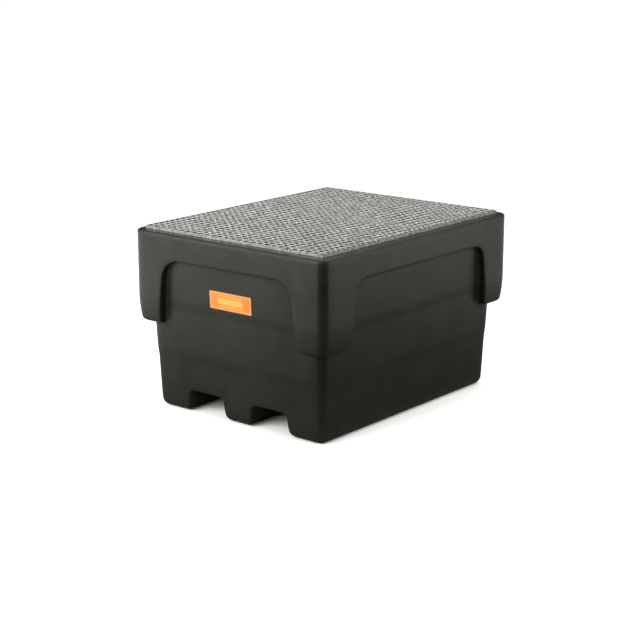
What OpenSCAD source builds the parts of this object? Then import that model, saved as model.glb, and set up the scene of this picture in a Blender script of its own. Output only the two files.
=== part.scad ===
// Spill containment pallet for one intermediate bulk container.
// One rotationally moulded polyethylene tub with an arched skirt and two
// fork channels, closed by one lift-out welded steel grating.
// Millimetres. +Z is up, +Y runs along the long side and -Y is the front,
// where the label is. The origin is on the floor, under the tub's centre.

/* [Tub] */
// Outside width across the skirt
tub_w = 1110; // [1090:1:1130]
// Outside length along the skirt
tub_l = 1385; // [1365:1:1400]
// Height of the rim above the floor
rim_h = 825; // [815:1:835]
// Moulded wall thickness
wall_t = 8; // [6:0.5:9]
// Plan radius of the skirt's corners
skirt_corner_r = 62; // [56:1:66]
// Radius along the rim's outer edge
rim_edge_r = 10; // [8:1:12]

/* [Walls] */
// Half width of the walls where they meet the floor
foot_half_w = 482; // [478:1:486]
// Half length of the walls where they meet the floor
foot_half_l = 616; // [612:1:620]
// How far each wall leans out per millimetre of height
wall_draft = 0.055; // [0.05:0.001:0.058]
// Height of each ledge step that runs round the walls
wall_step_z = [245, 480];
// Depth of each of those steps
wall_step_d = 3; // [2:0.5:4]
// Plan radius of the walls' corners at the floor
foot_corner_r = 40; // [39:1:46]
// Radius under the feet
foot_edge_r = 38; // [34:1:38]

/* [Skirt] */
// Height of the corner flaps' lower edge
flap_z = 406; // [400:1:412]
// Radius of the flaps' lower edge
flap_edge_r = 22; // [18:1:24]
// How far the flaps curve in above that radius
flap_tuck = 10; // [6:1:12]
// Height over which they do so
flap_tuck_h = 108; // [90:1:120]
// Height of the arches' crown
arch_z = 708; // [700:1:720]
// Radius of the front and back arches' upper corners
arch_r_w = 100; // [80:1:110]
// Radius of the side arches' upper corners
arch_r_l = 78; // [70:1:90]
// Half width of the front and back arches at the flaps' lower edge
arch_half_w = 401; // [390:1:410]
// Half width of the side arches at the flaps' lower edge
arch_half_l = 510; // [500:1:520]
// How far each side of an arch leans in per millimetre of height
arch_draft = 0.12; // [0.1:0.01:0.13]
// Corner radius at the foot of the front and back arches
arch_foot_r_w = 14; // [10:1:20]
// Corner radius at the foot of the side arches
arch_foot_r_l = 32; // [20:1:36]

/* [Fork channels] */
// Distance of each channel's middle from the tub's middle
channel_x = 184; // [180:1:188]
// Height of the channels' ceiling
channel_h = 105; // [100:1:112]
// Half width of a channel at its ceiling
channel_half_w = 97; // [92:1:100]
// How far each side of a channel opens out per millimetre towards the floor
channel_draft = 0.157; // [0.12:0.001:0.17]
// Radius of the channels' upper corners
channel_top_r = 14; // [10:1:18]

/* [Grating seat] */
// Width of the rim from the skirt's face to the recess
rim_w = 43; // [41:1:45]
// Depth of the recess that the grating lies in
recess_d = 15; // [13:1:17]
// Width of the seat that carries the grating
seat_w = 38; // [34:1:42]
// Thickness of the seat at its inner edge
seat_t = 14; // [12:1:16]
// Fall of the seat's underside towards the skirt
seat_fall = 36; // [30:1:40]
// Plan radius of the recess's corners
recess_corner_r = 8; // [7.5:0.5:9]

/* [Grating] */
// Gap between the grating and the recess all round
grate_gap = 3; // [2.5:0.5:4]
// Depth of the bearing bars
bar_h = 30; // [28:1:32]
// Thickness of the bearing and banding bars
bar_t = 3; // [2:0.5:4]
// Number of bearing bars, the first and last of which close the grating
bar_count = 39; // [39:2:39]
// Side of the square cross rods
rod_s = 6; // [5:0.5:6]
// Distance between the cross rods
rod_pitch = 38.1; // [37:0.1:38.5]
// Number of cross rods
rod_count = 26; // [24:2:26]

/* [Label] */
// Length of the label
label_l = 240; // [220:1:260]
// Height of the label
label_h = 80; // [70:1:90]
// Thickness of the label's film
label_t = 0.8; // [0.5:0.1:1.5]
// Height of the label's middle above the floor
label_z = 561; // [556:1:570]

/* [Hidden] */
bar_names = [for (i = [1 : bar_count]) str("bearing_bar_", i < 10 ? "0" : "", i)];

$fn = 64;
past = 1;                       // how far a cutter runs past the face it opens
arc_steps = 8;                  // straight pieces in each rounded stretch of an outline

half_w = tub_w/2;
half_l = tub_l/2;
skirt_x = half_w - skirt_corner_r;
skirt_y = half_l - skirt_corner_r;
foot_x = foot_half_w - foot_corner_r;
foot_y = foot_half_l - foot_corner_r;

recess_half_w = half_w - rim_w;
recess_half_l = half_l - rim_w;
mouth_half_w = recess_half_w - seat_w;
mouth_half_l = recess_half_l - seat_w;
seat_z = rim_h - recess_d;

grate_w = 2*(recess_half_w - grate_gap);
grate_l = 2*(recess_half_l - grate_gap);
grate_z = seat_z + bar_h;
bar_l = grate_w - 2*bar_t;
bar_pitch = (grate_l - bar_t)/(bar_count - 1);

channel_foot_w = channel_half_w + channel_draft*(channel_h - foot_edge_r);

// Points along an arc about c, both ends included
function arc(c, r, from, to) =
    [for (i = [0 : arc_steps]) let (a = from + (to - from)*i/arc_steps) c + r*[cos(a), sin(a)]];

// How far the walls stand out at height z from where they would meet the floor
function lean(z) = wall_draft*z + len([for (s = wall_step_z) if (z > s) s])*wall_step_d;

// Outline of the walls in section, out from the plan corners' centres.
// inset moves it inwards, for the inner face of the wall.
function wall_outline(inset, top) = let (r = foot_corner_r - inset, e = foot_edge_r - inset) concat(
    [[0, inset]],
    arc([r + lean(foot_edge_r) - e, foot_edge_r], e, -90, 0),
    [for (s = wall_step_z) each [[r + lean(s), s], [r + lean(s) + wall_step_d, s + wall_step_d]]],
    [[r + lean(top), top], [0, top]]);

// Outline of the skirt in section, from the lower edge up to the rim
function skirt_outline() = let (r = skirt_corner_r, low = r - flap_tuck, z = flap_z + flap_edge_r) concat(
    [[0, flap_z]],
    arc([low - flap_edge_r, z], flap_edge_r, -90, 0),
    [for (i = [1 : 4]) let (s = i/4) [low + flap_tuck*s*(2 - s), z + flap_tuck_h*s]],
    arc([r - rim_edge_r, rim_h - rim_edge_r], rim_edge_r, 0, 90),
    [[0, rim_h]]);

// Outline of the hollow inside the skirt, one wall thickness in
function hollow_outline() = let (r = skirt_corner_r - wall_t, low = r - flap_tuck, z = flap_z + flap_edge_r)
    concat(
        [[0, flap_z + wall_t]],
        arc([low - flap_edge_r + wall_t, z], flap_edge_r - wall_t, -90, 0),
        [for (i = [1 : 4]) let (s = i/4) [low + flap_tuck*s*(2 - s), z + flap_tuck_h*s]],
        [[r, rim_h], [0, rim_h]]);

// A block with rounded plan corners centred on (x, y), its sides shaped by outline
module rounded_block(x, y, outline) {
    for (sx = [-1, 1], sy = [-1, 1])
        translate([sx*x, sy*y, 0]) rotate_extrude() polygon(outline);
    rotate([90, 0, 90]) linear_extrude(2*x, center = true) both_sides(outline, y);
    rotate([90, 0, 0]) linear_extrude(2*y, center = true) both_sides(outline, x);
}

// A half outline drawn on both sides of the middle, out from a distance d
module both_sides(outline, d)
    for (s = [0, 1]) mirror([s, 0])
        polygon(concat([[0, outline[0].y]], [for (p = outline) p + [d, 0]],
            [[0, outline[len(outline) - 1].y]]));

// Opening of an arch: half width at its foot, radii of its upper corners and its foot,
// and grow for the hollow behind it
module arch_opening(half, arch_r, foot_r, grow) {
    crown = arch_z + grow;
    side_top = half + grow - arch_draft*(crown - arch_r - flap_z);
    side = concat(
        [[half + grow + foot_r, flap_z - past - grow], [half + grow + foot_r, flap_z - grow]],
        arc([half + grow + foot_r, flap_z + foot_r - grow], foot_r, -90, -180),
        arc([side_top - arch_r, crown - arch_r], arch_r, 0, 90));
    polygon(concat(side, [for (i = [len(side) - 1 : -1 : 0]) [-side[i].x, side[i].y]]));
}

// All four arches as bars that run right through the tub
module arches(grow) {
    rotate([90, 0, 0]) linear_extrude(tub_l + 2*past, center = true)
        arch_opening(arch_half_w, arch_r_w, arch_foot_r_w, grow);
    rotate([90, 0, 90]) linear_extrude(tub_w + 2*past, center = true)
        arch_opening(arch_half_l, arch_r_l, arch_foot_r_l, grow);
}

// One fork channel in section; grow thickens it into the ridge inside the tub
module channel_section(grow) {
    e = foot_edge_r - grow;
    top_r = channel_top_r + grow;
    side = concat(
        [[channel_foot_w + foot_edge_r, grow - past], [channel_foot_w + foot_edge_r, grow]],
        arc([channel_foot_w + foot_edge_r, foot_edge_r], e, -90, -180),
        arc([channel_half_w - channel_top_r, channel_h - channel_top_r], top_r, 0, 90));
    polygon(concat(side, [for (i = [len(side) - 1 : -1 : 0]) [-side[i].x, side[i].y]]));
}

module channels(grow, length)
    for (s = [-1, 1]) translate([s*channel_x, 0, 0])
        rotate([90, 0, 0]) linear_extrude(length, center = true) channel_section(grow);

// Space below the rim and the seat: its roof slopes from the seat's edge to the skirt
module below_seat() {
    low = seat_z - seat_t - seat_fall;
    intersection() {
        rotate([90, 0, 0]) linear_extrude(tub_l, center = true)
            roof_section(mouth_half_w, half_w - wall_t, low);
        rotate([90, 0, 90]) linear_extrude(tub_w, center = true)
            roof_section(mouth_half_l, half_l - wall_t, low);
    }
}

module roof_section(mouth, wide, low) {
    z = seat_z - seat_t;
    polygon([[-wide, 0], [wide, 0], [wide, low], [mouth, z], [mouth, rim_h + past],
        [-mouth, rim_h + past], [-mouth, z], [-wide, low]]);
}

// Everything that is hollow inside the tub
module sump()
    difference() {
        intersection() {
            union() {
                rounded_block(foot_x, foot_y, wall_outline(wall_t, rim_h + past));
                difference() {
                    rounded_block(skirt_x, skirt_y, hollow_outline());
                    arches(wall_t);
                }
            }
            below_seat();
        }
        channels(wall_t, tub_l);
    }

// Recess in the rim that the grating drops into
module recess()
    translate([0, 0, seat_z]) linear_extrude(recess_d + past) union() {
        square([2*recess_half_w, 2*(recess_half_l - recess_corner_r)], center = true);
        square([2*(recess_half_w - recess_corner_r), 2*recess_half_l], center = true);
        for (sx = [-1, 1], sy = [-1, 1])
            translate([sx*(recess_half_w - recess_corner_r), sy*(recess_half_l - recess_corner_r)])
                circle(recess_corner_r);
    }

module tub()
    color([0.10, 0.105, 0.09]) difference() {
        union() {
            rounded_block(foot_x, foot_y, wall_outline(0, rim_h - rim_edge_r));
            difference() {
                rounded_block(skirt_x, skirt_y, skirt_outline());
                arches(0);
            }
        }
        sump();
        recess();
        channels(0, tub_l);
    }

// Film label, flat against the leaning front wall
module label() {
    wall_y = foot_half_l + lean(label_z);
    color([0.88, 0.38, 0.08]) translate([0, -wall_y, label_z]) rotate([atan(wall_draft), 0, 0])
        translate([-label_l/2, -label_t, -label_h/2]) cube([label_l, label_t, label_h]);
}

// Places things at each cross rod's middle
module at_rods()
    for (i = [0 : rod_count - 1]) translate([(i - (rod_count - 1)/2)*rod_pitch, 0, 0]) children();

// One bearing bar, notched along its top edge for the cross rods
module bearing_bar(i)
    color([0.66, 0.68, 0.69]) translate([0, (i - (bar_count - 1)/2)*bar_pitch, 0]) difference() {
        translate([-bar_l/2, -bar_t/2, seat_z]) cube([bar_l, bar_t, bar_h]);
        at_rods() translate([-rod_s/2, -bar_t, grate_z - rod_s]) cube([rod_s, 2*bar_t, rod_s + past]);
    }

module cross_rods()
    color([0.70, 0.72, 0.73]) at_rods()
        translate([-rod_s/2, -grate_l/2, grate_z - rod_s]) cube([rod_s, grate_l, rod_s]);

// Flat bar welded across the ends of the bearing bars
module banding(side)
    color([0.66, 0.68, 0.69]) translate([side*(grate_w - bar_t)/2 - bar_t/2, -grate_l/2, seat_z])
        cube([bar_t, grate_l, bar_h]);

tub();
label();
for (i = [0 : bar_count - 1])
    bearing_bar(i);
cross_rods();
banding(-1);  // banding_left
banding(1);  // banding_right
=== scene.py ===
"""Spill containment pallet: the moulded tub, its printed label and the welded deck grating."""

import math

import bmesh
import bpy
from mathutils import Matrix, Vector


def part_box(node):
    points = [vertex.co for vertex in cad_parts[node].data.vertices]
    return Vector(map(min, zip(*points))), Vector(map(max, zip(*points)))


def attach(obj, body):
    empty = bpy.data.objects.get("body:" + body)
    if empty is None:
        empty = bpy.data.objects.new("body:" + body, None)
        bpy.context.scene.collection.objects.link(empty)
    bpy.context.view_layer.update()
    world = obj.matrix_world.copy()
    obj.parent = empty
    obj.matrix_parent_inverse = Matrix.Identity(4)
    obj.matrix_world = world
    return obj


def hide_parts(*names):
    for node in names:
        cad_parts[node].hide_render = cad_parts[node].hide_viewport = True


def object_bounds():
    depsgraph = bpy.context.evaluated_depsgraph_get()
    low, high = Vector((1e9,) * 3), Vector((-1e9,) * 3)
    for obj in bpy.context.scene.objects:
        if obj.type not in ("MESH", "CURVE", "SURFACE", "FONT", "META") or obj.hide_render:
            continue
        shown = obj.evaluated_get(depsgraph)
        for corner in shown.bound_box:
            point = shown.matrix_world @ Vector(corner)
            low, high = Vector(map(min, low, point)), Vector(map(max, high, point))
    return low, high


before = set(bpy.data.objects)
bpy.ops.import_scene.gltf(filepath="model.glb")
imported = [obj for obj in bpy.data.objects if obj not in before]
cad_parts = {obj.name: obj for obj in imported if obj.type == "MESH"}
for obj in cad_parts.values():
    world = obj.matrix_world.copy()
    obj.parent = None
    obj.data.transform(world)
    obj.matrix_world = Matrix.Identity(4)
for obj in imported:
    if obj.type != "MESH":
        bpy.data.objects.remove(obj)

bl_info = {
    "name": "Spill containment pallet",
    "version": (1, 0, 0),
    "blender": (4, 5, 0),
    "location": "3D View > Sidebar > Spill pallet",
    "description": "Models a moulded spill containment pallet with a lift-out steel grating",
    "category": "Object",
}

CAD_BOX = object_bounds()
TUB_LOW, TUB_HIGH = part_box("tub")
ROD_LOW, ROD_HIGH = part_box("cross_rods")
BAR_NODES = sorted(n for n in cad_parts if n.startswith("bearing_bar_"))
BANDING_NODES = ["banding_left", "banding_right"]
TUB_BODY = "sump_tub"
GRATING_BODY = "grating"

SAME_POINT = 1e-6                       # points of a CAD mesh this close are one point
SAME_SEAM = 1e-5                        # the same on the tub's two mirror planes
FLAT = math.radians(1)                  # faces that turn less than this from each other are one
TAN_22 = 0.4142                         # tangent of 22.5 degrees, a quarter of a square corner
CAD_ROD_HALF = 0.003                    # half the side of the CAD's square rods

SCUFF_COLOUR = (0.06, 0.06, 0.052)
DUST_COLOUR = (0.16, 0.155, 0.14)
RIM_WEAR = (0.018, 0.009)               # depths under the rim between which its edge turns matt
UNSHADED_BARS = 0.0015                     # depth below the deck free of painted shade, on each kind of bar
UNSHADED_EDGING = 0.012
UNSHADED_RODS = 0.0035
CELL_SHADE_FADE = 0.004                      # height over which the painted shade in the cells comes in
EDGING_PAINTED_SHADE = 0.54                     # painted shade: how much of the others' brightness the outermost bars' zinc keeps
FADED_PRINT = (0.62, 0.30, 0.10)
PRINT_BLUR = 0.0004                     # half width of the soft edge of what is printed
PRINTED_BORDER = (-0.0065, -0.0035)     # its inner and outer edge, from the label's outline
PRINTED_BARS = ((0.0, 0.028), (0.0235, 0.005), (-0.0235, 0.005))    # middle's height, thickness
PRINTED_LENGTH = 0.140

FLOOR_HALF = 30.0
FLOOR_WHITES = ((0.955, 0.955, 0.955), (0.98, 0.98, 0.98))
UNLIT_FLOOR, LIT_FLOOR = (0.02, 0.02, 0.02), (1.0, 1.0, 0.95)   # painted shade and light of the floor in mirrors
FLOOR_IN_MIRRORS = (0.13, 1.0)          # painted shadow: how lit the floor is in mirrors, close by and far off
FLOOR_FAR = (1.0, 4.3)                  # distances from the middle that count as close and far
DARK_SIDE = (0.733, 0.70, 0.86)         # middle, inner and outer half angle of the unlit side
LEFT_SIDE = (-1.3, -0.5, 1.0, 0.48)     # two angles, and how lit the room is at each
ROOM_IN_MIRRORS = 0.08                  # how bright the room is where the object mirrors it
STUDIO_WHITE = 1.06
CAMERA_PLACE = (4.5479, -5.6438, 2.2124)
CAMERA_DOWN, CAMERA_TURN = 14.376, 39.057           # degrees
CAMERA_SENSOR, CAMERA_LENS = 36.0, 90.49            # millimetres
PANEL_COLOUR = (1.0, 1.0, 0.92)
PANELS = (                              # name, place, what it faces, size, power, beam angle
    ("overhead", (0.3, 0.3, 3.3), (0.1, 0.0, 0.8), (2.2, 2.2), 60.0, 180.0),
    ("front_left", (-1.25, -2.80, 1.50), (-1.10, -0.69, 0.70), (3.5, 1.8), 62.0, 110.0),
    ("back_right", (2.64, 0.95, 1.40), (0.5, 0.1, 0.60), (3.7, 1.9), 44.0, 180.0),
)


# ---------------------------------------------------------------- sizes and colours

class TubSettings(bpy.types.PropertyGroup):
    """Sizes of the moulded tub."""

    wall: bpy.props.FloatProperty(
        name="Wall", description="Thickness of the moulded wall", default=0.008, unit="LENGTH")
    foot_half_w: bpy.props.FloatProperty(
        name="Foot half width", description="Half width of the walls where they meet the floor",
        default=0.482, unit="LENGTH")
    foot_half_l: bpy.props.FloatProperty(
        name="Foot half length", description="Half length of the walls where they meet the floor",
        default=0.616, unit="LENGTH")
    foot_corner: bpy.props.FloatProperty(
        name="Foot corner", description="Plan radius of the walls' corners at the floor",
        default=0.040, unit="LENGTH")
    foot_edge: bpy.props.FloatProperty(
        name="Foot edge", description="Radius under the feet", default=0.038, unit="LENGTH")
    draft: bpy.props.FloatProperty(
        name="Draft", description="How far the walls lean out for each unit of height",
        default=0.055)
    step: bpy.props.FloatProperty(
        name="Ledge", description="Depth of the two ledges round the walls",
        default=0.003, unit="LENGTH")
    skirt_corner: bpy.props.FloatProperty(
        name="Skirt corner", description="Plan radius of the skirt's corners",
        default=0.062, unit="LENGTH")
    arch_radius_w: bpy.props.FloatProperty(
        name="End arch corner", description="Radius of the front and back arches' upper corners",
        default=0.100, unit="LENGTH")
    arch_radius_l: bpy.props.FloatProperty(
        name="Side arch corner", description="Radius of the side arches' upper corners",
        default=0.078, unit="LENGTH")
    channel_centre: bpy.props.FloatProperty(
        name="Fork channel place",
        description="Distance of each channel's middle from the tub's middle",
        default=0.184, unit="LENGTH")
    colour: bpy.props.FloatVectorProperty(
        name="Plastic colour", description="Colour of the moulded polyethylene", subtype="COLOR",
        size=3, min=0.0, max=1.0, default=(0.0092, 0.0102, 0.0072))


class GratingSettings(bpy.types.PropertyGroup):
    """Sizes of the deck grating."""

    rod_side: bpy.props.FloatProperty(
        name="Rod", description="Side of the square bar that the cross rods are twisted from",
        default=0.0058, unit="LENGTH")
    rod_rings: bpy.props.IntProperty(
        name="Rings", description="Rings in each half turn of a cross rod",
        default=6, min=3, max=12)
    rod_count: bpy.props.IntProperty(
        name="Rods", description="Number of cross rods", default=26, min=2)
    edge: bpy.props.FloatProperty(
        name="Bar edge", description="Rounding of the bars' edges", default=0.0005, unit="LENGTH")
    colour: bpy.props.FloatVectorProperty(
        name="Zinc colour", description="Colour of the dull zinc coating", subtype="COLOR",
        size=3, min=0.0, max=1.0, default=(0.46, 0.466, 0.46))
    # painted shade: the colour the zinc is darkened to down in the cells
    cell_shade: bpy.props.FloatVectorProperty(
        name="Painted cell shade", description="Colour of the zinc down in the cells", subtype="COLOR",
        size=3, min=0.0, max=1.0, default=(0.030, 0.030, 0.029))


class LabelSettings(bpy.types.PropertyGroup):
    """Sizes and colours of the printed label."""

    corner: bpy.props.FloatProperty(
        name="Corner", description="Radius of the label's corners", default=0.004, unit="LENGTH")
    field: bpy.props.FloatVectorProperty(
        name="Field", description="Colour of the label's ground", subtype="COLOR",
        size=3, min=0.0, max=1.0, default=(0.57, 0.160, 0.028))
    border: bpy.props.FloatVectorProperty(
        name="Border", description="Colour of the label's thin border", subtype="COLOR",
        size=3, min=0.0, max=1.0, default=(0.66, 0.30, 0.13))
    bars: bpy.props.FloatVectorProperty(
        name="Bars", description="Colour of the plain bars on the label", subtype="COLOR",
        size=3, min=0.0, max=1.0, default=(0.62, 0.315, 0.048))


SETTINGS = {
    "spill_tub": TubSettings,
    "spill_grating": GratingSettings,
    "spill_label": LabelSettings,
}


# ---------------------------------------------------------------- shader helpers

class Nodes:
    """Short calls for building a node tree."""

    ACROSS, WIDE, DEEP = 12, 180, 260                    # nodes in a row, and the room for each

    def __init__(self, tree):
        self.tree = tree
        self.count = 0

    def add(self, kind, **sets):
        node = self.tree.nodes.new(kind)
        row, column = divmod(self.count, self.ACROSS)
        node.location = (column*self.WIDE, -row*self.DEEP)
        self.count += 1
        for key, value in sets.items():
            setattr(node, key, value)
        return node

    def put(self, socket, value):
        if isinstance(value, bpy.types.NodeSocket):
            self.tree.links.new(value, socket)
        elif hasattr(value, "__len__") and len(value) == 3 and socket.type == "RGBA":
            socket.default_value = (*value, 1.0)
        else:
            socket.default_value = value

    def math(self, operation, a, b=None, clamp=False):
        node = self.add("ShaderNodeMath", operation=operation, use_clamp=clamp)
        self.put(node.inputs[0], a)
        if b is not None:
            self.put(node.inputs[1], b)
        return node.outputs[0]

    def plus(self, a, b, clamp=False):
        return self.math("ADD", a, b, clamp=clamp)

    def minus(self, a, b):
        return self.math("SUBTRACT", a, b)

    def times(self, a, b, clamp=False):
        return self.math("MULTIPLY", a, b, clamp=clamp)

    def absolute(self, a):
        return self.math("ABSOLUTE", a)

    def highest(self, values):
        top, *rest = values
        for value in rest:
            top = self.math("MAXIMUM", top, value)
        return top

    def split(self, vector):
        node = self.add("ShaderNodeSeparateXYZ")
        self.put(node.inputs[0], vector)
        return node.outputs

    def facing(self):
        """The surface's normal, as its three parts."""
        return self.split(self.add("ShaderNodeNewGeometry").outputs["Normal"])

    def remap(self, value, low, high, to_low=0.0, to_high=1.0):
        """A soft step from to_low to to_high as the value goes from low to high."""
        node = self.add("ShaderNodeMapRange", interpolation_type="SMOOTHSTEP")
        for name, v in (("Value", value), ("From Min", low), ("From Max", high),
                        ("To Min", to_low), ("To Max", to_high)):
            self.put(node.inputs[name], v)
        return node.outputs[0]

    def mix(self, factor, a, b):
        node = self.add("ShaderNodeMix", data_type="RGBA")
        self.put(node.inputs["Factor"], factor)
        self.put(node.inputs["A"], a)
        self.put(node.inputs["B"], b)
        return node.outputs["Result"]

    def noise(self, vector, scale, detail=2.0, rough=0.5):
        node = self.add("ShaderNodeTexNoise")
        self.put(node.inputs["Vector"], vector)
        self.put(node.inputs["Scale"], scale)
        self.put(node.inputs["Detail"], detail)
        self.put(node.inputs["Roughness"], rough)
        return node.outputs["Fac"]

    def bump(self, height, strength, distance):
        node = self.add("ShaderNodeBump")
        self.put(node.inputs["Height"], height)
        self.put(node.inputs["Strength"], strength)
        self.put(node.inputs["Distance"], distance)
        return node.outputs["Normal"]


def new_group(name, inputs, outputs):
    """An empty shader node group with named sockets, and its input and output nodes."""
    group = bpy.data.node_groups.new(name, "ShaderNodeTree")
    kinds = {"value": "NodeSocketFloat", "colour": "NodeSocketColor", "vector": "NodeSocketVector"}
    for socket_name, kind, default in inputs:
        socket = group.interface.new_socket(socket_name, in_out="INPUT", socket_type=kinds[kind])
        if default is not None:
            socket.default_value = default
    for socket_name, kind in outputs:
        group.interface.new_socket(socket_name, in_out="OUTPUT", socket_type=kinds[kind])
    n = Nodes(group)
    return group, n, n.add("NodeGroupInput").outputs, n.add("NodeGroupOutput").inputs


def grain_group():
    """Fine surface grain over a slow unevenness, as one height."""
    name = "Surface grain"
    if name in bpy.data.node_groups:
        return bpy.data.node_groups[name]
    group, n, given, out = new_group(
        name,
        [("Place", "vector", None), ("Fine scale", "value", 700.0), ("Fine height", "value", 0.1),
         ("Slow scale", "value", 4.0), ("Slow height", "value", 1.0)],
        [("Height", "value")])
    fine = n.noise(given["Place"], given["Fine scale"], detail=3.0, rough=0.6)
    slow = n.noise(given["Place"], given["Slow scale"], detail=1.5, rough=0.4)
    n.put(out["Height"], n.plus(n.times(fine, given["Fine height"]),
                                n.times(slow, given["Slow height"])))
    return group


def dust_group():
    """Dust that settles on faces that look upwards, in cloudy patches."""
    name = "Settled dust"
    if name in bpy.data.node_groups:
        return bpy.data.node_groups[name]
    group, n, given, out = new_group(
        name,
        [("Place", "vector", None), ("Patch scale", "value", 9.0), ("Amount", "value", 0.5)],
        [("Mask", "value")])
    upward = n.remap(n.facing()["Z"], 0.35, 0.95)
    cloud = n.noise(given["Place"], given["Patch scale"], detail=5.0, rough=0.62)
    cloud = n.remap(cloud, 0.34, 0.68, 0.3, 1.0)
    n.put(out["Mask"], n.times(n.times(upward, cloud), given["Amount"], clamp=True))
    return group


def scuff_group():
    """Thin scratches in two directions, thinned out by a patchy mask."""
    name = "Scuffs"
    if name in bpy.data.node_groups:
        return bpy.data.node_groups[name]
    group, n, given, out = new_group(
        name,
        [("Place", "vector", None), ("Amount", "value", 0.5)],
        [("Mask", "value")])
    streaks = []
    for turn, stretch in ((0.35, (3.0, 3.0, 90.0)), (-0.25, (6.0, 6.0, 140.0))):
        mapping = n.add("ShaderNodeMapping")
        n.put(mapping.inputs["Vector"], given["Place"])
        mapping.inputs["Rotation"].default_value = (turn, turn*0.6, 0.2)
        mapping.inputs["Scale"].default_value = stretch
        streak = n.noise(mapping.outputs[0], 1.6, detail=4.0, rough=0.7)
        streaks.append(n.remap(streak, 0.66, 0.74))
    patches = n.remap(n.noise(given["Place"], 3.1), 0.5, 0.68)
    n.put(out["Mask"], n.times(n.times(n.highest(streaks), patches), given["Amount"], clamp=True))
    return group


def use_group(n, group, **sets):
    """Places a group in a material, with its own values; gives its outputs."""
    node = n.add("ShaderNodeGroup", node_tree=group)
    for key, value in sets.items():
        n.put(node.inputs[key.replace("_", " ").capitalize()], value)
    return node.outputs


def start_material(name):
    """An empty material: its nodes, its Principled shader and its Object coordinates."""
    material = bpy.data.materials.new(name)
    material.use_nodes = True
    material.node_tree.nodes.clear()
    n = Nodes(material.node_tree)
    shader = n.add("ShaderNodeBsdfPrincipled")
    n.put(n.add("ShaderNodeOutputMaterial").inputs["Surface"], shader.outputs[0])
    return material, n, shader, n.add("ShaderNodeTexCoord").outputs["Object"]


# ---------------------------------------------------------------- materials

def shaded(colour, amount):
    """A colour made darker or paler."""
    return [c*amount for c in colour]


def polyethylene():
    """Black moulded polyethylene: satin and faintly uneven, scuffed, a little dusty, with
    the rim's rounded edge rubbed matt."""
    material, n, shader, place = start_material("Black polyethylene")
    base = bpy.context.scene.spill_tub.colour
    cloud = n.remap(n.noise(place, 5.0, detail=4.0, rough=0.55), 0.3, 0.7)
    colour = n.mix(cloud, shaded(base, 0.82), shaded(base, 1.22))
    scuffs = use_group(n, scuff_group(), place=place, amount=0.22)["Mask"]
    colour = n.mix(scuffs, colour, SCUFF_COLOUR)
    dust = use_group(n, dust_group(), place=place, amount=0.03)["Mask"]
    colour = n.mix(dust, colour, DUST_COLOUR)
    n.put(shader.inputs["Base Color"], colour)
    rough = n.remap(n.noise(place, 11.0, detail=3.0), 0.3, 0.7, 0.27, 0.34)
    by_rim = n.remap(n.split(place)["Z"], *(TUB_HIGH.z - depth for depth in RIM_WEAR))
    rubbed = n.times(by_rim, n.remap(n.facing()["Z"], 0.90, 0.99, 1.0, 0.0))
    n.put(shader.inputs["Roughness"], n.plus(rough, n.times(rubbed, 0.34), clamp=True))
    height = use_group(n, grain_group(), place=place, fine_scale=520.0, fine_height=0.05,
                       slow_scale=3.5, slow_height=1.0)["Height"]
    n.put(shader.inputs["Normal"], n.bump(height, strength=0.6, distance=0.006))
    shader.inputs["IOR"].default_value = 1.51
    return material


def galvanised(name, unshaded_depth, painted_shade=1.0):
    """Hot-dip galvanised steel: crystal spangle and dull runs, bright down to unshaded_depth
    below the deck; under that, in the cells, darkened with painted shade, less metallic and
    rougher."""
    material, n, shader, place = start_material(name)
    look = bpy.context.scene.spill_grating
    # painted shade: a darker copy of the zinc, used for the outermost bars
    base = shaded(look.colour, painted_shade)
    spangle = n.add("ShaderNodeTexVoronoi")
    n.put(spangle.inputs["Vector"], place)
    spangle.inputs["Scale"].default_value = 120.0
    crystal = n.add("ShaderNodeSeparateColor")
    n.put(crystal.inputs[0], spangle.outputs["Color"])
    cloud = n.remap(n.noise(place, 14.0, detail=4.0, rough=0.6), 0.32, 0.7)
    colour = n.mix(crystal.outputs[0], shaded(base, 0.54), shaded(base, 1.42))
    colour = n.mix(n.times(cloud, 0.30), colour, shaded(base, 0.55))
    # painted shade: below the unshaded depth the zinc turns dark, standing in for the shade in the
    # cells; the same mask also makes it less metallic and rougher
    depth = n.minus(CAD_BOX[1][2], n.split(place)["Z"])
    cell_shade = n.remap(depth, unshaded_depth, unshaded_depth + CELL_SHADE_FADE)
    n.put(shader.inputs["Base Color"], n.mix(cell_shade, colour, look.cell_shade))
    n.put(shader.inputs["Metallic"], n.remap(cell_shade, 0.0, 1.0, 0.55, 0.35))
    rough = n.remap(crystal.outputs[1], 0.0, 1.0, 0.34, 0.52)
    n.put(shader.inputs["Roughness"], n.plus(rough, n.times(cell_shade, 0.15), clamp=True))
    height = use_group(n, grain_group(), place=place, fine_scale=900.0, fine_height=0.25,
                       slow_scale=60.0, slow_height=1.0)["Height"]
    n.put(shader.inputs["Normal"], n.bump(height, strength=0.5, distance=0.0006))
    return material


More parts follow.
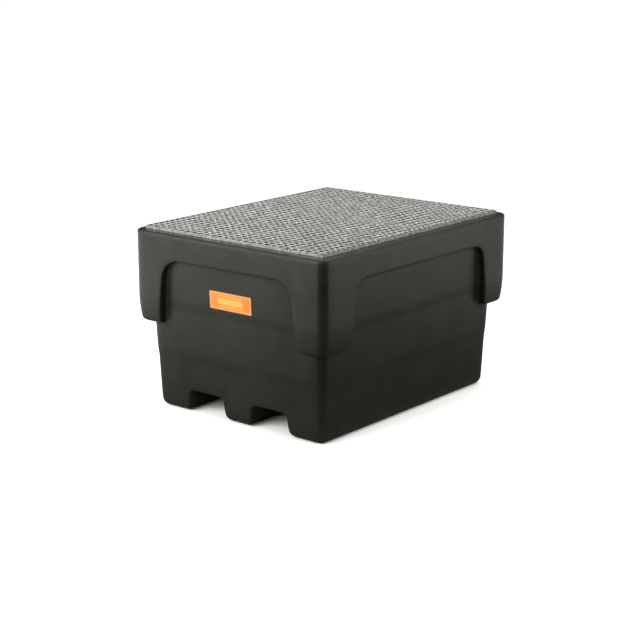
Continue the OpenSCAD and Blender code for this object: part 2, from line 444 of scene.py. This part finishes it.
def label_film():
    """Printed film: orange ground, thin pale border and three plain bars."""
    material, n, shader, place = start_material("Label film")
    look = bpy.context.scene.spill_label
    low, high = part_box("label")
    centre, half = (low + high)/2, (high - low)/2
    at = n.split(place)
    across = n.absolute(n.minus(at["X"], centre.x))
    up = n.minus(at["Z"], centre.z)

    def below(value, limit):
        return n.remap(value, limit - PRINT_BLUR, limit + PRINT_BLUR, 1.0, 0.0)

    def band(value, inner, outer):
        rise = n.remap(value, inner - PRINT_BLUR, inner + PRINT_BLUR)
        return n.times(rise, below(value, outer))

    edge = n.highest((n.minus(across, half.x), n.minus(n.absolute(up), half.z)))
    short = below(across, PRINTED_LENGTH/2)
    bars = n.highest([n.times(band(up, middle - thick/2, middle + thick/2), short)
                      for middle, thick in PRINTED_BARS])
    fade = n.remap(n.noise(place, 26.0, detail=4.0, rough=0.6), 0.3, 0.72, 0.0, 0.22)
    colour = n.mix(band(edge, *PRINTED_BORDER), look.field, look.border)
    colour = n.mix(bars, colour, look.bars)
    colour = n.mix(fade, colour, FADED_PRINT)
    n.put(shader.inputs["Base Color"], colour)
    rough = n.remap(n.noise(place, 70.0, detail=3.0), 0.3, 0.7, 0.34, 0.46)
    n.put(shader.inputs["Roughness"], rough)
    height = use_group(n, grain_group(), place=place, fine_scale=420.0, fine_height=0.2,
                       slow_scale=22.0, slow_height=1.0)["Height"]
    n.put(shader.inputs["Normal"], n.bump(height, strength=0.35, distance=0.0008))
    return material


# ---------------------------------------------------------------- mesh helpers

def new_mesh_object(bm, name, material, smooth=True):
    """Makes an object of a finished bmesh and frees it."""
    mesh = bpy.data.meshes.new(name)
    bm.to_mesh(mesh)
    bm.free()
    for face in mesh.polygons:
        face.use_smooth = smooth
    mesh.materials.append(material)
    piece = bpy.data.objects.new(name, mesh)
    bpy.context.scene.collection.objects.link(piece)
    return piece


def only(geom, kind):
    """The points, the edges or the faces among what an operator made."""
    return [g for g in geom if isinstance(g, kind)]


def cad_copy(node):
    """A copy of a CAD node's mesh, its loose triangles merged and its flat faces whole."""
    bm = bmesh.new()
    bm.from_mesh(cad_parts[node].data)
    bmesh.ops.remove_doubles(bm, verts=bm.verts[:], dist=SAME_POINT)
    bmesh.ops.dissolve_limit(bm, angle_limit=FLAT, verts=bm.verts[:], edges=bm.edges[:])
    return bm


def square_to_round(u, v, full, gone):
    """Moves a point so that the square it lies on becomes a circle: wholly up to
    full from the middle, and not at all past gone."""
    far = max(u, v)
    if min(u, v) <= 0 or far >= gone:
        return u, v
    share = min(1.0, (gone - far)/(gone - full))
    scale = 1 + share*(far/math.hypot(u, v) - 1)
    return u*scale, v*scale


def falling_arc(r, d):
    """How far inside its radius a rounded edge is, at a distance d before its end."""
    d = min(max(d, 0.0), r)
    return r - math.sqrt(r*r - d*d)


# ---------------------------------------------------------------- the tub

class TubShape:
    """Turns whole-number places on the cage into real ones.

    The cage is built as a block of whole-number steps: i counts across the width, j along
    the length and k up from the floor. Steps past I or J go out from the wall to the skirt,
    and steps past K go down into the recess that the grating lies in. The last three steps
    of i and j before the skirt turn the plan corner.
    """

    def __init__(self):
        s = bpy.context.scene.spill_tub
        self.s = s
        self.half_w = TUB_HIGH.x
        self.half_l = TUB_HIGH.y
        self.rim = TUB_HIGH.z
        self.flap = 0.406                                # lower edge of the corner flaps
        self.flap_edge = 0.022                           # radius under them
        self.tuck, self.tuck_h = 0.010, 0.108            # how far they draw in, over what height
        self.crown = 0.708                               # top of the arches
        self.arch_w, self.arch_l = 0.401, 0.510          # their half widths at the flaps' edge
        self.arch_lean = 0.12                            # how far their sides lean in as they rise
        self.arch_foot_w, self.arch_foot_l = 0.014, 0.032    # radius at the flaps' corners
        self.arch_blend = (0.016, 0.060)                 # how far past the arc the cage is round
        self.channel_h, self.channel_half = 0.105, 0.097
        self.channel_draft, self.channel_top = 0.157, 0.014  # flare, and radius under the roof
        self.near, self.past = 0.010, 0.014              # from an edge to the cage's next lines
        self.rim_edge = 0.010                            # radius of the rim's outer edge
        self.rim_w, self.seat_w, self.recess = 0.043, 0.038, 0.015
        self.recess_corner, self.recess_fan = 0.008, 0.2     # its plan radius, and growth inwards
        self.ledges = (0.244, 0.479)                     # where each ledge begins
        self.ledge_rise, self.ledge_hold = 0.034, 0.008
        self.plain_heights = (0.065, 0.128, 0.180, 0.330, 0.452, 0.585, 0.683, 0.768, 0.806)
        self.foot_x = s.foot_half_w - s.foot_corner
        self.foot_y = s.foot_half_l - s.foot_corner
        self.arch_side_w = self.arch_w - self.arch_lean*(self.crown - s.arch_radius_w - self.flap)
        self.arch_side_l = self.arch_l - self.arch_lean*(self.crown - s.arch_radius_l - self.flap)
        self.heights = self.make_heights()
        self.K = len(self.heights) - 1
        self.I, self.J = 13, 10
        self.arch_i, self.arch_j = 9, 6                  # the lines that the arches' sides follow
        self.channel_i = (2, 4)                          # and the fork channels' sides
        self.channel_k = self.step_at(self.channel_h)
        self.flap_k = self.step_at(self.flap)
        self.crown_k = self.step_at(self.crown)
        self.out_share = (0.0, 0.20, 0.75, 1.0)          # where the steps from wall to skirt lie
        self.rim_share = (0.0, 0.18, 0.80, 1.0)          # the same on the flat top of the rim
        seat, hold, lip = self.rim - self.recess, 0.004, 0.006
        self.seat_rings = (                              # how far in from the recess's side, height
            (0.0, self.rim - hold), (0.0, seat + hold), (0.0, seat), (0.005, seat),
            (self.seat_w - hold, seat), (self.seat_w, seat), (self.seat_w, seat - lip))

    def make_heights(self):
        """Every height that the cage has a line at."""
        s, crown = self.s, self.crown

        def rise(radius, degrees):
            return radius*(1 - math.cos(math.radians(degrees)))

        def run(radius, degrees):
            return radius*(1 - math.sin(math.radians(degrees)))

        heights = [*self.plain_heights]
        heights += [rise(s.foot_edge, a) for a in (0, 22.5, 45, 67.5, 90)]
        heights += [self.channel_h - run(self.channel_top, a) for a in (0, 30, 60, 90)]
        for ledge in self.ledges:
            top = ledge + self.ledge_rise
            heights += [ledge - self.ledge_hold, ledge, top, top + self.ledge_hold]
        heights += [self.flap + rise(self.flap_edge, a) for a in (0, 30, 60, 90)]
        heights += [self.flap - self.near, self.flap + self.flap_edge + self.tuck_h]
        heights += [crown - s.arch_radius_w, crown - s.arch_radius_l,
                    crown - (1 - TAN_22)*s.arch_radius_l]
        heights += [crown - self.near, crown, crown + self.past]
        heights += [self.rim - self.rim_edge*share for share in (1, 0.5, 0.134, 0)]
        return sorted(heights)

    def step_at(self, height):
        """The cage's line nearest to a height."""
        return min(range(len(self.heights)), key=lambda k: abs(self.heights[k] - height))

    def wall_out(self, z):
        """How far the wall stands out from its corners' centres at height z."""
        s = self.s
        lean = s.draft*max(z, s.foot_edge) + sum(
            s.step*min(1.0, max(0.0, (z - ledge)/self.ledge_rise)) for ledge in self.ledges)
        return s.foot_corner + lean - falling_arc(s.foot_edge, s.foot_edge - z)

    def skirt_out(self, z):
        """How far the skirt stands out from its corners' centres at height z."""
        turn = self.flap + self.flap_edge
        share = min(1.0, max(0.0, (z - turn)/self.tuck_h))
        out = self.s.skirt_corner - self.tuck*(1 - share*(2 - share))
        out -= falling_arc(self.flap_edge, turn - z)
        return out - falling_arc(self.rim_edge, z - (self.rim - self.rim_edge))

    def channel_out(self, z):
        """Half width of a fork channel at height z."""
        top, edge = self.channel_h - self.channel_top, self.s.foot_edge
        if z > top:
            return self.channel_half - falling_arc(self.channel_top, z - top)
        straight = self.channel_half + self.channel_draft*(self.channel_h - max(z, edge))
        return straight + falling_arc(edge, edge - z)

    def arch_side(self, z, half, radius):
        """Half width of an arch at height z, below its rounded upper corners."""
        top = self.crown - radius
        return half - self.arch_lean*(min(max(z, self.flap), top) - self.flap)

    def line_x(self, i, z):
        """Distance from the middle plane of the lines across the width, short of the corner."""
        s, half = self.s, self.channel_out(min(z, self.channel_h))
        inner, outer = s.channel_centre - half, s.channel_centre + half
        side = self.arch_side(z, self.arch_w, s.arch_radius_w)
        corner = self.arch_side_w - s.arch_radius_w
        bend = max(corner, outer + self.near + self.past)
        lines = (0.0, inner - self.near, inner, s.channel_centre, outer, outer + self.near, bend,
                 max(corner + TAN_22*s.arch_radius_w, bend + self.near),
                 side - self.near, side, side + self.past)
        return lines[i]

    def line_y(self, j, z):
        """The same along the length."""
        s = self.s
        side = self.arch_side(z, self.arch_l, s.arch_radius_l)
        corner = self.arch_side_l - s.arch_radius_l
        lines = (0.0, corner/3, corner*2/3, corner, corner + TAN_22*s.arch_radius_l,
                 side - self.near, side, side + self.past)
        return lines[j]

    def round_arch(self, u, z, half, foot_r, side_top, r):
        """Rounds an arch's upper corners and its foot; u is the distance from the middle plane."""
        cu, cz = side_top - r, self.crown - r
        full, gone = self.arch_blend
        a, b = square_to_round(u - cu, z - cz, r + full, r + gone)
        if u > cu and z > cz:
            return cu + a, cz + b
        cu, cz = half + foot_r, self.flap + foot_r
        if u < cu and z < cz:
            a, b = square_to_round(cu - u, cz - z, foot_r, foot_r + self.near)
            return cu - a, cz - b
        return u, z

    def place(self, i, j, k):
        """Real position of one point of the cage, in the quarter where x and y are positive."""
        out = max(i - self.I, j - self.J, 0)
        bi, bj = min(i, self.I), min(j, self.J)
        z = self.heights[min(k, self.K)]
        on_front, on_side = j >= self.J, i >= self.I
        x = self.line_x(bi, z) if bi < self.I - 2 else None
        y = self.line_y(bj, z) if bj < self.J - 2 else None
        if on_front and x is not None:
            x, z = self.round_arch(x, z, self.arch_w, self.arch_foot_w, self.arch_side_w,
                                   self.s.arch_radius_w)
        elif on_side and y is not None:
            y, z = self.round_arch(y, z, self.arch_l, self.arch_foot_l, self.arch_side_l,
                                   self.s.arch_radius_l)
        wall = self.corner(bi, bj, x, y, self.foot_x, self.foot_y, self.wall_out(z))
        if out == 0 and k < self.K:
            return Vector((*wall, z))
        s = self.s
        skirt = self.corner(bi, bj, x, y, self.half_w - s.skirt_corner,
                            self.half_l - s.skirt_corner, self.skirt_out(z))
        if k < self.K:
            return Vector((*wall, z)).lerp(Vector((*skirt, z)), self.out_share[out])
        inset, height = (0.0, self.rim) if k == self.K else self.seat_rings[k - self.K - 1]
        r = self.recess_corner + inset*self.recess_fan
        recess = self.corner(bi, bj, x, y, self.half_w - self.rim_w - inset - r,
                             self.half_l - self.rim_w - inset - r, r)
        share = self.rim_share[out] if k == self.K else 0.0
        return Vector((*recess, height)).lerp(Vector((*skirt, height)), share)

    def corner(self, i, j, x, y, cx, cy, out):
        """Plan position of a point, with the plan corner about (cx, cy) rounded at radius out."""
        lines = (0.0, TAN_22*out, out)
        u = lines[i - self.I + 2] if x is None else None
        v = lines[j - self.J + 2] if y is None else None
        if u and v:
            u, v = square_to_round(u, v, out, 2*out)
        return x if u is None else cx + u, y if v is None else cy + v


def lies(element, test):
    """Whether every point of a face or an edge passes a test."""
    return all(test(v.co) for v in element.verts)


def push_out(bm, faces, move, keep_first=False):
    """Extrudes a region of faces, moves its points, and clears what is left inside."""
    made = bmesh.ops.extrude_face_region(bm, geom=faces)["geom"]
    for v in only(made, bmesh.types.BMVert):
        v.co += move(v.co)
    if not keep_first:
        bmesh.ops.delete(bm, geom=[f for f in faces if f.is_valid], context="FACES")
    return only(made, bmesh.types.BMFace)


def cage_of_tub(shape):
    """Quarter of the tub's outer skin, on whole-number steps: walls, feet, skirt and recess."""
    bm = bmesh.new()
    bmesh.ops.create_grid(bm, x_segments=shape.I, y_segments=shape.K, size=1.0)
    for v in bm.verts:
        v.co = Vector((round((v.co.x + 1)/2*shape.I), shape.J, round((v.co.y + 1)/2*shape.K)))
    low_i, high_i = shape.channel_i
    notch = [f for f in bm.faces if low_i < f.calc_center_median().x < high_i
             and f.calc_center_median().z < shape.channel_k]
    bmesh.ops.delete(bm, geom=notch, context="FACES")

    layer = list(bm.faces)
    for step in range(shape.J):
        layer = push_out(bm, layer, lambda at: Vector((0, -1, 0)), keep_first=step == 0)

    def on_mirror(face):
        return lies(face, lambda at: at.x < 0.5) or lies(face, lambda at: at.y < 0.5)

    open_faces = [f for f in bm.faces if on_mirror(f) or lies(f, lambda at: at.z > shape.K - 0.5)]
    bmesh.ops.delete(bm, geom=open_faces, context="FACES")

    def in_skirt(face):
        c = face.calc_center_median()
        if c.z < shape.flap_k:
            return False
        above = c.z > shape.crown_k
        on_front = lies(face, lambda at: at.y > shape.J - 0.5)
        on_side = lies(face, lambda at: at.x > shape.I - 0.5)
        return (on_front and (above or c.x > shape.arch_i)
                or on_side and (above or c.y > shape.arch_j))

    region = [f for f in bm.faces if in_skirt(f)]
    for out in range(len(shape.out_share) - 1):
        edge_i, edge_j = shape.I + out - 0.5, shape.J + out - 0.5
        region = push_out(bm, region, lambda at: Vector((at.x > edge_i, at.y > edge_j, 0)))
    bmesh.ops.delete(bm, geom=[f for f in bm.faces if on_mirror(f)], context="FACES")

    rim = [e for e in bm.edges if e.is_boundary and lies(
        e, lambda at: at.z > shape.K - 0.5 and at.x < shape.I + 0.5 and at.y < shape.J + 0.5)]
    for ring in range(len(shape.seat_rings)):
        made = bmesh.ops.extrude_edge_only(bm, edges=rim)["geom"]
        bmesh.ops.translate(bm, vec=(0, 0, 1), verts=only(made, bmesh.types.BMVert))
        rim = [e for e in only(made, bmesh.types.BMEdge)
               if lies(e, lambda at: at.z > shape.K + ring + 0.5)]
    return bm


class SPILL_OT_tub(bpy.types.Operator):
    """Models the moulded tub as one rounded skin with a real wall thickness"""

    bl_idname = "spill.tub"
    bl_label = "Tub"

    def execute(self, context):
        shape = TubShape()
        bm = cage_of_tub(shape)
        for v in bm.verts:
            i, j, k = (round(c) for c in v.co)
            v.co = shape.place(i, j, k)
            v.co.y = -v.co.y
        for axis in "XY":
            bmesh.ops.mirror(bm, geom=bm.verts[:] + bm.edges[:] + bm.faces[:],
                             matrix=Matrix.Identity(4), merge_dist=SAME_SEAM, axis=axis)
        bmesh.ops.remove_doubles(bm, verts=bm.verts[:], dist=SAME_SEAM)
        bmesh.ops.recalc_face_normals(bm, faces=bm.faces[:])
        outermost = max(bm.faces, key=lambda f: f.calc_center_median().x)
        if outermost.normal.x < 0:
            bmesh.ops.reverse_faces(bm, faces=bm.faces[:])
        piece = new_mesh_object(bm, "moulded_tub", polyethylene())
        rounding = piece.modifiers.new("Rounding", "SUBSURF")
        rounding.levels = rounding.render_levels = 1
        rounding.boundary_smooth = "PRESERVE_CORNERS"
        wall = piece.modifiers.new("Wall", "SOLIDIFY")
        wall.thickness = context.scene.spill_tub.wall
        wall.offset = -1.0
        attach(piece, TUB_BODY)
        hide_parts("tub")
        return {"FINISHED"}


# ---------------------------------------------------------------- the label

class SPILL_OT_label(bpy.types.Operator):
    """Models the printed film label with rounded corners, flat on the leaning wall"""

    bl_idname = "spill.label"
    bl_label = "Label"

    def execute(self, context):
        bm = cad_copy("label")
        thickness = min(e.calc_length() for e in bm.edges)
        corners = [e for e in bm.edges if e.calc_length() < thickness*1.5]
        bmesh.ops.bevel(bm, geom=corners, offset=context.scene.spill_label.corner, affect="EDGES",
                        segments=5, profile=0.5, material=-1)
        bmesh.ops.recalc_face_normals(bm, faces=bm.faces[:])
        piece = new_mesh_object(bm, "printed_label", label_film(), smooth=False)
        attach(piece, TUB_BODY)
        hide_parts("label")
        return {"FINISHED"}


# ---------------------------------------------------------------- the grating

def soften_bar(node, name, edge, material):
    """A flat bar in place of its CAD node, with its long edges slightly rounded."""
    bm = cad_copy(node)
    sharp = [e for e in bm.edges if len(e.link_faces) == 2
             and e.calc_face_angle() > math.radians(60) and e.calc_length() > edge*8]
    bmesh.ops.bevel(bm, geom=sharp, offset=edge, affect="EDGES", segments=1, profile=0.5,
                    material=-1, clamp_overlap=True)
    piece = new_mesh_object(bm, name, material, smooth=False)
    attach(piece, GRATING_BODY)
    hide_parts(node)


class SPILL_OT_bars(bpy.types.Operator):
    """Gives the bearing bars and the two banding bars rounded edges and zinc"""

    bl_idname = "spill.bars"
    bl_label = "Bearing and banding bars"

    def execute(self, context):
        edge = context.scene.spill_grating.edge
        inner = galvanised("Galvanised bars", UNSHADED_BARS)
        # the edging is a darker copy of the same zinc, painted shade
        outer = galvanised("Galvanised edging", UNSHADED_EDGING, EDGING_PAINTED_SHADE)
        edging = (BAR_NODES[0], BAR_NODES[-1], *BANDING_NODES)
        for node in BAR_NODES + BANDING_NODES:
            soften_bar(node, f"{node}_rolled", edge, outer if node in edging else inner)
        return {"FINISHED"}


class SPILL_OT_rods(bpy.types.Operator):
    """Twists the square cross rods: half a turn from one bearing bar to the next"""

    bl_idname = "spill.rods"
    bl_label = "Twisted cross rods"

    def execute(self, context):
        s = context.scene.spill_grating
        bays = len(BAR_NODES) - 1
        rings = bays*s.rod_rings
        length = ROD_HIGH.y - ROD_LOW.y
        half = s.rod_side/2
        height = ROD_HIGH.z - half*math.sqrt(2)
        first, last = ROD_LOW.x + CAD_ROD_HALF, ROD_HIGH.x - CAD_ROD_HALF
        bm = bmesh.new()
        corner = bmesh.ops.create_vert(bm, co=(first + half, ROD_LOW.y, height + half))["vert"]
        bmesh.ops.spin(bm, geom=corner, cent=(first, 0, height), axis=(0, 1, 0), dvec=(0, 0, 0),
                       angle=math.tau, steps=4, use_merge=True, use_duplicate=False)
        bmesh.ops.remove_doubles(bm, verts=bm.verts[:], dist=SAME_POINT)
        cap = bmesh.ops.contextual_create(bm, geom=bm.edges[:])["faces"]
        bmesh.ops.spin(bm, geom=cap, cent=(first, 0, height), axis=(0, 1, 0),
                       dvec=(0, length/rings, 0), angle=math.pi*bays, steps=rings,
                       use_merge=False, use_duplicate=False)
        one = bm.verts[:] + bm.edges[:] + bm.faces[:]
        pitch = (last - first)/(s.rod_count - 1)
        for n in range(1, s.rod_count):
            copied = bmesh.ops.duplicate(bm, geom=one)["geom"]
            bmesh.ops.translate(bm, vec=(n*pitch, 0, 0), verts=only(copied, bmesh.types.BMVert))
        bmesh.ops.recalc_face_normals(bm, faces=bm.faces[:])
        zinc = galvanised("Galvanised rods", UNSHADED_RODS)
        piece = new_mesh_object(bm, "twisted_cross_rods", zinc, smooth=False)
        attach(piece, GRATING_BODY)
        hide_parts("cross_rods")
        return {"FINISHED"}


# ---------------------------------------------------------------- the stage

def floor_material():
    """Plain pale floor to the camera; in mirrors, a dim room's floor with painted shadow near the
    object and painted shade on its unlit side.
    """
    material, n, shader, place = start_material("Pale floor")
    n.put(shader.inputs["Base Color"], n.mix(n.noise(place, 1.2), *FLOOR_WHITES))
    shader.inputs["Roughness"].default_value = 0.8
    shader.inputs["Specular IOR Level"].default_value = 0.0
    dim = n.add("ShaderNodeBsdfDiffuse")
    x, y, _ = n.split(place)
    # painted shadow: in mirrors the floor darkens close to the object
    far = n.math("SQRT", n.plus(n.times(x, x), n.times(y, y)))
    pale = n.remap(far, *FLOOR_FAR, *FLOOR_IN_MIRRORS)
    # painted shade: the room's unlit side, and a half-lit side to the left
    turn = n.math("ARCTAN2", n.minus(x, TUB_HIGH.x), n.minus(TUB_LOW.y, y))
    middle, inner, outer = DARK_SIDE
    lit = n.remap(n.absolute(n.minus(turn, middle)), inner, outer)
    lit = n.times(lit, n.remap(turn, *LEFT_SIDE))
    n.put(dim.inputs["Color"], n.mix(n.times(pale, lit), UNLIT_FLOOR, LIT_FLOOR))
    mixed = n.add("ShaderNodeMixShader")
    n.put(mixed.inputs[0], n.add("ShaderNodeLightPath").outputs["Is Camera Ray"])
    n.put(mixed.inputs[1], dim.outputs[0])
    n.put(mixed.inputs[2], shader.outputs[0])
    n.put(material.node_tree.get_output_node("ALL").inputs["Surface"], mixed.outputs[0])
    return material


def studio_world(scene):
    """White behind the object, and a dim room in what the object mirrors."""
    world = bpy.data.worlds.new("Studio")
    world.use_nodes = True
    scene.world = world
    n = Nodes(world.node_tree)
    n.tree.nodes.clear()
    background = n.add("ShaderNodeBackground")
    mirrored = n.add("ShaderNodeLightPath").outputs["Is Glossy Ray"]
    background.inputs["Strength"].default_value = STUDIO_WHITE
    n.put(background.inputs["Color"], n.mix(mirrored, (1.0, 1.0, 1.0), [ROOM_IN_MIRRORS]*3))
    n.put(n.add("ShaderNodeOutputWorld").inputs["Surface"], background.outputs[0])


def area_light(name, place, aim, size, power, beam):
    """A soft rectangular light that the camera doesn't see."""
    data = bpy.data.lights.new(name, "AREA")
    data.shape = "RECTANGLE"
    data.size, data.size_y = size
    data.energy = power
    data.spread = math.radians(beam)
    data.color = PANEL_COLOUR
    lamp = bpy.data.objects.new(name, data)
    bpy.context.scene.collection.objects.link(lamp)
    lamp.location = place
    lamp.rotation_euler = (Vector(aim) - Vector(place)).to_track_quat("-Z", "Y").to_euler()
    lamp.visible_camera = False


class SPILL_OT_stage(bpy.types.Operator):
    """Sets the floor, the soft studio light and the camera"""

    bl_idname = "spill.stage"
    bl_label = "Stage"

    def execute(self, context):
        scene = context.scene
        scene.view_settings.view_transform = "Standard"
        bm = bmesh.new()
        bmesh.ops.create_grid(bm, x_segments=1, y_segments=1, size=FLOOR_HALF)
        floor = new_mesh_object(bm, "floor", floor_material(), smooth=False)

        studio_world(scene)
        for panel in PANELS:
            area_light(*panel)

        data = bpy.data.cameras.new("camera")
        data.sensor_width = CAMERA_SENSOR
        data.lens = CAMERA_LENS
        camera = bpy.data.objects.new("camera", data)
        scene.collection.objects.link(camera)
        camera.location = CAMERA_PLACE
        camera.rotation_euler = (math.radians(90 - CAMERA_DOWN), 0.0, math.radians(CAMERA_TURN))
        scene.camera = camera
        return {"FINISHED"}


class SPILL_PT_panel(bpy.types.Panel):
    """Lists the pallet's pieces"""

    bl_idname = "SPILL_PT_panel"
    bl_label = "Spill pallet"
    bl_space_type = "VIEW_3D"
    bl_region_type = "UI"
    bl_category = "Spill pallet"

    def draw(self, context):
        for operator in OPERATORS:
            self.layout.operator(operator.bl_idname)


OPERATORS = (SPILL_OT_tub, SPILL_OT_label, SPILL_OT_bars, SPILL_OT_rods, SPILL_OT_stage)
CLASSES = (*SETTINGS.values(), *OPERATORS, SPILL_PT_panel)


def register():
    for cls in CLASSES:
        bpy.utils.register_class(cls)
    for name, cls in SETTINGS.items():
        setattr(bpy.types.Scene, name, bpy.props.PointerProperty(type=cls))


def unregister():
    for name in SETTINGS:
        delattr(bpy.types.Scene, name)
    for cls in reversed(CLASSES):
        bpy.utils.unregister_class(cls)


def main():
    register()
    bpy.ops.spill.tub()
    bpy.ops.spill.label()
    bpy.ops.spill.bars()
    bpy.ops.spill.rods()
    bpy.ops.spill.stage()


if __name__ == "__main__":
    main()
